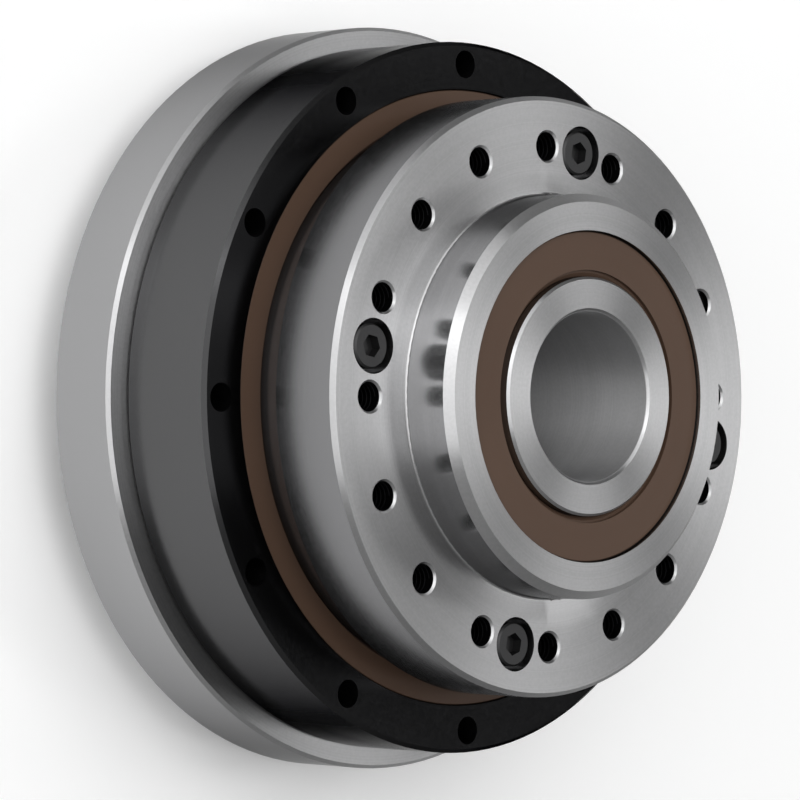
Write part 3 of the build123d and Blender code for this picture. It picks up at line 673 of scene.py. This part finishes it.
class StageSettings(bpy.types.PropertyGroup):
    """Camera, floor and lamps."""

    view_turn: bpy.props.FloatProperty(
        name="View turn", description="Angle between the gear axis and the line of sight, across the picture",
        default=math.radians(44.973), subtype="ANGLE")
    view_tilt: bpy.props.FloatProperty(
        name="View tilt", description="Angle by which the gear axis points up in the picture",
        default=math.radians(0.258), subtype="ANGLE")
    distance: bpy.props.FloatProperty(
        name="Distance", description="From the camera to the flange's middle, along the line of sight",
        default=543.17 * MM, unit="LENGTH")
    shift_right: bpy.props.FloatProperty(
        name="Right of middle", description="How far right of the picture's middle the flange's middle lies",
        default=18.36 * MM, unit="LENGTH")
    shift_up: bpy.props.FloatProperty(
        name="Above middle", description="How far above the picture's middle the flange's middle lies",
        default=0.402 * MM, unit="LENGTH")
    lens: bpy.props.FloatProperty(
        name="Lens", description="Focal length in millimetres", default=197.43, min=10)
    floor: bpy.props.FloatVectorProperty(
        name="Floor", description="Colour of the floor",
        subtype="COLOR", default=(0.98, 0.98, 0.98), min=0, max=1)
    floor_lift: bpy.props.FloatProperty(
        name="Floor's lift", description="Brightness added to the floor as the camera and bare steel see it",
        default=0.09, min=0, max=1)
    near_room: bpy.props.FloatProperty(
        name="Room behind camera", description="Brightness of the room behind the camera",
        default=0.38, min=0)
    far_room: bpy.props.FloatProperty(
        name="Room beyond", description="Brightness of the room beyond the unit", default=0.14, min=0)
    key: bpy.props.FloatProperty(
        name="Key lamp", description="Power of the lamp that casts the shadow, in watts", default=5.0, min=0)
    key_place: bpy.props.FloatVectorProperty(
        name="Key lamp's place", description="Seen from the flange's middle",
        subtype="TRANSLATION", default=(-0.2, 0.5, 0.84))
    key_size: bpy.props.FloatProperty(
        name="Key lamp's size", description="Side of the lamp that casts the shadow",
        default=1.0, unit="LENGTH")
    soft_box: bpy.props.FloatProperty(
        name="Soft box", description="Power of the large lamp behind the camera in watts", default=5.0, min=0)
    soft_box_place: bpy.props.FloatVectorProperty(
        name="Soft box's place", description="Seen from the flange's middle",
        subtype="TRANSLATION", default=(-0.69, 0.1, 0.71))
    soft_box_size: bpy.props.FloatProperty(
        name="Soft box's size", description="Side of the large lamp", default=1.1, unit="LENGTH")
    fan: bpy.props.FloatProperty(
        name="Fan lamps", description="Power of each of the four small lamps in watts", default=0.34, min=0)
    fan_distance: bpy.props.FloatProperty(
        name="Fan distance", description="From the flange's middle to the small lamps",
        default=0.8, unit="LENGTH")
    fan_size: bpy.props.FloatProperty(
        name="Fan size", description="Side of each small lamp", default=0.16, unit="LENGTH")
    fan_spread: bpy.props.FloatProperty(
        name="Fan spread", description="Angle between the small lamps and the mirrored line of sight",
        default=math.radians(18), subtype="ANGLE")


class GEARUNIT_OT_case(bpy.types.Operator):
    """Finish the fixed pieces: case, black ring, plug, seals, O-rings, screws and flexspline"""

    bl_idname = "gearunit.case"
    bl_label = "Finish the Case"

    def execute(self, context):
        look = context.scene.gear_finish
        # The rear case's round side gets painted shade
        steel = turned_steel(
            "turned_case_steel", look.steel, look.steel_roughness, look.side_roughness,
            rim=(radius_of("rear_housing"), look.case_side_shade))
        black = black_oxide("black_ring_steel", look.black, look.black_roughness, look.black_side)
        # The ring's hole walls get painted shade
        drilled = shaded_hole_steel("ring_hole_steel", look.drilled)
        finish_node("bearing_outer_ring", black, "mounting_holes", drilled)
        seals = ("main_seal", "rear_oil_seal")
        dress((
            (steel, ("rear_housing",)),
            (black, ("loading_plug",)),
            (rubber("brown_seal_rubber", look.seal, SEAL_ROUGHNESS, seals), seals),
            (rubber("o_ring_rubber", *CORD_RUBBER), ("rear_housing_o_ring", "outer_ring_o_ring")),
            (black_oxide("screw_steel", look.screw, SCREW_ROUGHNESS), ("housing_screws",)),
            (turned_steel("flexspline_steel", *GEAR_STEEL), ("flexspline",)),
            (polished_steel("pin_steel", *PIN_STEEL), ("loading_plug_pin",)),
        ))
        return {"FINISHED"}


class GEARUNIT_OT_output(bpy.types.Operator):
    """Finish the output flange and the pieces that turn with it"""

    bl_idname = "gearunit.output"
    bl_label = "Finish the Output"

    def execute(self, context):
        look = context.scene.gear_finish
        # The flange's round side gets painted shade
        steel = turned_steel(
            "turned_flange_steel", look.steel, look.steel_roughness, look.side_roughness,
            rim=(radius_of("output_flange"), look.flange_side_shade))
        # The flange's hole walls get painted shade
        drilled = shaded_hole_steel("flange_hole_steel", look.drilled)
        finish_node("output_flange", steel, "output_holes", drilled)
        seals = ("front_oil_seal",)
        dress((
            (turned_steel("ring_gear_steel", *GEAR_STEEL), ("circular_spline",)),
            (rubber("front_seal_rubber", look.seal, SEAL_ROUGHNESS, seals), seals),
            (rubber("flange_cord_rubber", *CORD_RUBBER), ("flange_o_ring",)),
            (black_oxide("flange_screw_steel", look.screw, SCREW_ROUGHNESS), ("flange_screws",)),
        ))
        return {"FINISHED"}


class GEARUNIT_OT_shaft(bpy.types.Operator):
    """Finish the hollow shaft and the wave generator's races"""

    bl_idname = "gearunit.shaft"
    bl_label = "Finish the Shaft"

    def execute(self, context):
        look = context.scene.gear_finish
        steel = turned_steel(
            "turned_shaft_steel", look.steel, look.steel_roughness, look.side_roughness,
            bore=bore_radius("shaft_bore"))
        # The shaft's hole walls get painted shade
        finish_node("hollow_shaft", steel, "input_holes", shaded_hole_steel("shaft_hole_steel", look.drilled))
        dress((
            (polished_steel("wave_race_steel", *CAM_RACE_STEEL),
             ("flex_bearing_inner_race", "flex_bearing_outer_race")),
            (polished_steel("wave_ball_steel", *CAM_BALL_STEEL), ("flex_bearing_balls",)),
            (polyamide("wave_cage_polyamide", look.cage), ("flex_bearing_cage",)),
        ))
        return {"FINISHED"}


class GEARUNIT_OT_bearings(bpy.types.Operator):
    """Finish the ball bearings and the cross-roller bearing's inner pieces"""

    bl_idname = "gearunit.bearings"
    bl_label = "Finish the Bearings"

    def execute(self, context):
        look = context.scene.gear_finish
        races = polished_steel("race_steel", *RACE_STEEL)
        balls = polished_steel("ball_steel", *BALL_STEEL)
        cages = polyamide("cage_polyamide", look.cage)
        ends = ("rear_bearing_", "front_bearing_")
        dress((
            (races, [end + ring for end in ends for ring in ("outer_ring", "inner_ring")]),
            (races, ("bearing_inner_ring",)),
            (balls, [end + "balls" for end in ends] + ["cross_rollers"]),
            (cages, [end + "cage" for end in ends] + ["roller_spacers"]),
        ))
        return {"FINISHED"}


class GEARUNIT_OT_details(bpy.types.Operator):
    """Add the threads in the screw holes and the coils of the garter springs"""

    bl_idname = "gearunit.details"
    bl_label = "Add Threads and Springs"

    def execute(self, context):
        look = context.scene.gear_finish
        sizes = context.scene.gear_details
        # The threads share the painted shade of the hole walls
        steel = shaded_hole_steel("thread_steel", look.drilled)
        wire = polished_steel("spring_wire_steel", *WIRE_STEEL)
        count, circle, bore, level = pattern("output_holes")
        threads = thread_rings(
            "output_hole_threads", steel, count, circle, bore,
            level - OUTPUT_THREAD_END, level - THREAD_START, sizes.output_pitch, sizes.thread_depth)
        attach(threads, "output")
        count, circle, bore, level = pattern("input_holes")
        threads = thread_rings(
            "input_hole_threads", steel, count, circle, bore,
            level + THREAD_START, level + INPUT_THREAD_END, sizes.input_pitch, sizes.thread_depth)
        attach(threads, "input_shaft")
        for node, body in (("rear_seal_spring", "housing"), ("front_seal_spring", "output")):
            low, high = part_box(node)
            half = (high.z - low.z) / 2
            spring = garter_spring(
                node + "_coils", wire, high.x - half, low.z + half,
                sizes.spring_wire, half - sizes.spring_wire, sizes.spring_coils)
            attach(spring, body)
            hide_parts(node)
        return {"FINISHED"}


def lamp(name, way, size, power):
    """A square soft lamp that stands a given way from the flange's middle and points at it."""
    light = bpy.data.lights.new(name, "AREA")
    light.shape = "SQUARE"
    light.size = size
    light.energy = power
    holder = bpy.data.objects.new(name, light)
    holder.location = way + Vector((0.0, 0.0, FLANGE_TOP))
    holder.rotation_euler = (-way).to_track_quat("-Z", "Y").to_euler()
    bpy.context.scene.collection.objects.link(holder)


class GEARUNIT_OT_stage(bpy.types.Operator):
    """Set up the floor, the lamps, the room and the camera"""

    bl_idname = "gearunit.stage"
    bl_label = "Set Up the Stage"

    def execute(self, context):
        stage = context.scene.gear_stage
        self.camera(context, stage)
        self.floor(stage)
        self.room(context, stage)
        self.lamps(stage)
        context.scene.view_settings.view_transform = "Standard"
        return {"FINISHED"}

    def lamps(self, stage):
        """A key lamp, a soft box behind the camera, and four small lamps round the mirrored line of sight."""
        lamp("key_lamp", stage.key_place.copy(), stage.key_size, stage.key)
        lamp("soft_box", stage.soft_box_place.copy(), stage.soft_box_size, stage.soft_box)
        gaze = Vector((math.sin(stage.view_turn), 0.0, math.cos(stage.view_turn)))
        for quarter, letter in enumerate("abcd"):
            side = Matrix.Rotation(quarter * math.pi / 2, 3, gaze) @ Vector((0.0, 1.0, 0.0))
            way = gaze * math.cos(stage.fan_spread) + side * math.sin(stage.fan_spread)
            lamp("fan_lamp_" + letter, way * stage.fan_distance, stage.fan_size, stage.fan)

    def camera(self, context, stage):
        """A camera that sees the gear axis level in the picture, pointing to the right and out of it."""
        turn, tilt = stage.view_turn, stage.view_tilt
        axis = Vector((math.sin(turn) * math.cos(tilt), math.sin(tilt), math.cos(turn) * math.cos(tilt)))
        right = Vector((0, 1, 0)).cross(axis).normalized()
        up = axis.cross(right)
        view = Matrix((right, up, axis))
        middle = Vector((stage.shift_right, stage.shift_up, -stage.distance))
        eye = bpy.data.cameras.new("picture_camera")
        eye.lens = stage.lens
        eye.sensor_width = SENSOR
        eye.clip_start = NEAR_CLIP
        eye.clip_end = FAR_CLIP
        holder = bpy.data.objects.new("picture_camera", eye)
        context.scene.collection.objects.link(holder)
        holder.matrix_world = Matrix.Translation(view @ -middle + Vector((0, 0, FLANGE_TOP))) @ view.to_4x4()
        context.scene.camera = holder

    def floor(self, stage):
        """A wide round floor under the unit, a little lighter as the camera and bare steel see it."""
        disc = bmesh.new()
        bmesh.ops.create_circle(disc, cap_ends=True, segments=FLOOR_SIDES, radius=FLOOR_RADIUS)
        mesh = bpy.data.meshes.new("floor")
        disc.to_mesh(mesh)
        disc.free()
        floor = bpy.data.objects.new("floor", mesh)
        bpy.context.scene.collection.objects.link(floor)
        finish = Finish("floor_paper")
        paper = finish.noise(PAPER_GRAIN)
        colour = tuple(stage.floor)
        rays = finish.add("ShaderNodeLightPath").outputs
        kinds = ("Is Camera Ray", "Is Glossy Ray", "Is Transmission Ray")
        camera, glossy, clear = (Value(finish, rays[kind]) for kind in kinds)
        finish.set(
            Base_Color=finish.mix(paper, shade(colour), shade(colour, 0.985)),
            Roughness=0.9,
            Specular_IOR_Level=0.1,
            Emission_Color=camera + glossy + clear,
            Emission_Strength=stage.floor_lift,
        )
        mesh.materials.append(finish.material)

    def room(self, context, stage):
        """A softly lit room that gets darker beyond the unit."""
        world = bpy.data.worlds.new("room")
        world.use_nodes = True
        build = Builder(world.node_tree)
        way = build.add("ShaderNodeTexCoord").outputs["Generated"]
        sky = world.node_tree.nodes["Background"]
        build.feed(sky.inputs["Color"], shade(1.0))
        build.feed(
            sky.inputs["Strength"],
            build.split(way)[0].ramp(-ROOM_FADE, ROOM_FADE, stage.near_room, stage.far_room),
        )
        context.scene.world = world


SETTINGS = {"gear_finish": FinishSettings, "gear_details": DetailSettings, "gear_stage": StageSettings}
OPERATORS = (
    GEARUNIT_OT_case, GEARUNIT_OT_output, GEARUNIT_OT_shaft, GEARUNIT_OT_bearings,
    GEARUNIT_OT_details, GEARUNIT_OT_stage,
)


class GEARUNIT_PT_panel(bpy.types.Panel):
    """Lists the settings and the steps"""

    bl_label = "Gear Unit"
    bl_space_type = "VIEW_3D"
    bl_region_type = "UI"
    bl_category = "Gear Unit"

    def draw(self, context):
        for group in SETTINGS:
            box = self.layout.box()
            box.label(text=group.replace("_", " ").title())
            settings = getattr(context.scene, group)
            for name in settings.__annotations__:
                box.prop(settings, name)
        for step in OPERATORS:
            self.layout.operator(step.bl_idname)


CLASSES = tuple(SETTINGS.values()) + OPERATORS + (GEARUNIT_PT_panel,)


def register():
    """Register the settings, the steps and the panel."""
    for item in CLASSES:
        bpy.utils.register_class(item)
    for name, kind in SETTINGS.items():
        setattr(bpy.types.Scene, name, bpy.props.PointerProperty(type=kind))


def unregister():
    """Take back what register added."""
    for name in SETTINGS:
        delattr(bpy.types.Scene, name)
    for item in reversed(CLASSES):
        bpy.utils.unregister_class(item)


def main():
    """Register the add-on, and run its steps."""
    register()
    for step in OPERATORS:
        group, name = step.bl_idname.split(".")
        getattr(getattr(bpy.ops, group), name)()


if __name__ == "__main__":
    main()
